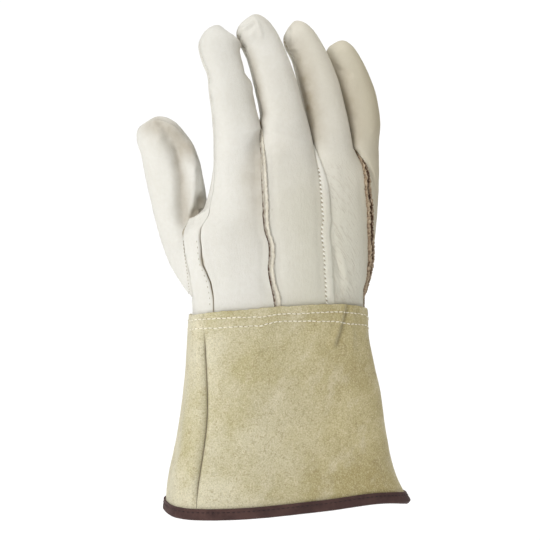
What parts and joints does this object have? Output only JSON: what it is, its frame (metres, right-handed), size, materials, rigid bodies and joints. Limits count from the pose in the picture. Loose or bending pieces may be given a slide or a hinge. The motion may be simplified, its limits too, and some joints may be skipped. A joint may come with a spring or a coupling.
{
  "type": "gauntlet glove",
  "caption": "Leather gauntlet glove for the right hand: grain leather hand with raised seams on its back, flared suede cuff with a bound hem, open at the cuff.",
  "frame": {"origin": "middle of the cuff's opening at the hem, where the forearm goes in", "axes": "+Z from the hem to the fingertips, -Y the back of the hand, +Y the palm, -X the thumb side"},
  "size_m": [0.1826, 0.0787, 0.3366],
  "materials": {
    "grain_leather": "smooth grain, soft sheen",
    "raw_edge": "cut edge, fibrous",
    "suede": "napped split leather, matt",
    "binding_tape": "woven tape, matt"
  },
  "bodies": {
    "root": {"index_back": "grain_leather", "middle_back": "grain_leather", "ring_back": "grain_leather", "little_back": "grain_leather", "palm_panel": "grain_leather", "thumb_back": "grain_leather", "thumb_front": "grain_leather", "welt_index_middle": "grain_leather", "welt_middle_ring": "grain_leather", "raw_seam_ring_little": "raw_edge", "cuff_back": "suede", "cuff_palm": "suede", "hem_binding": "binding_tape"}
  },
  "joints": []
}
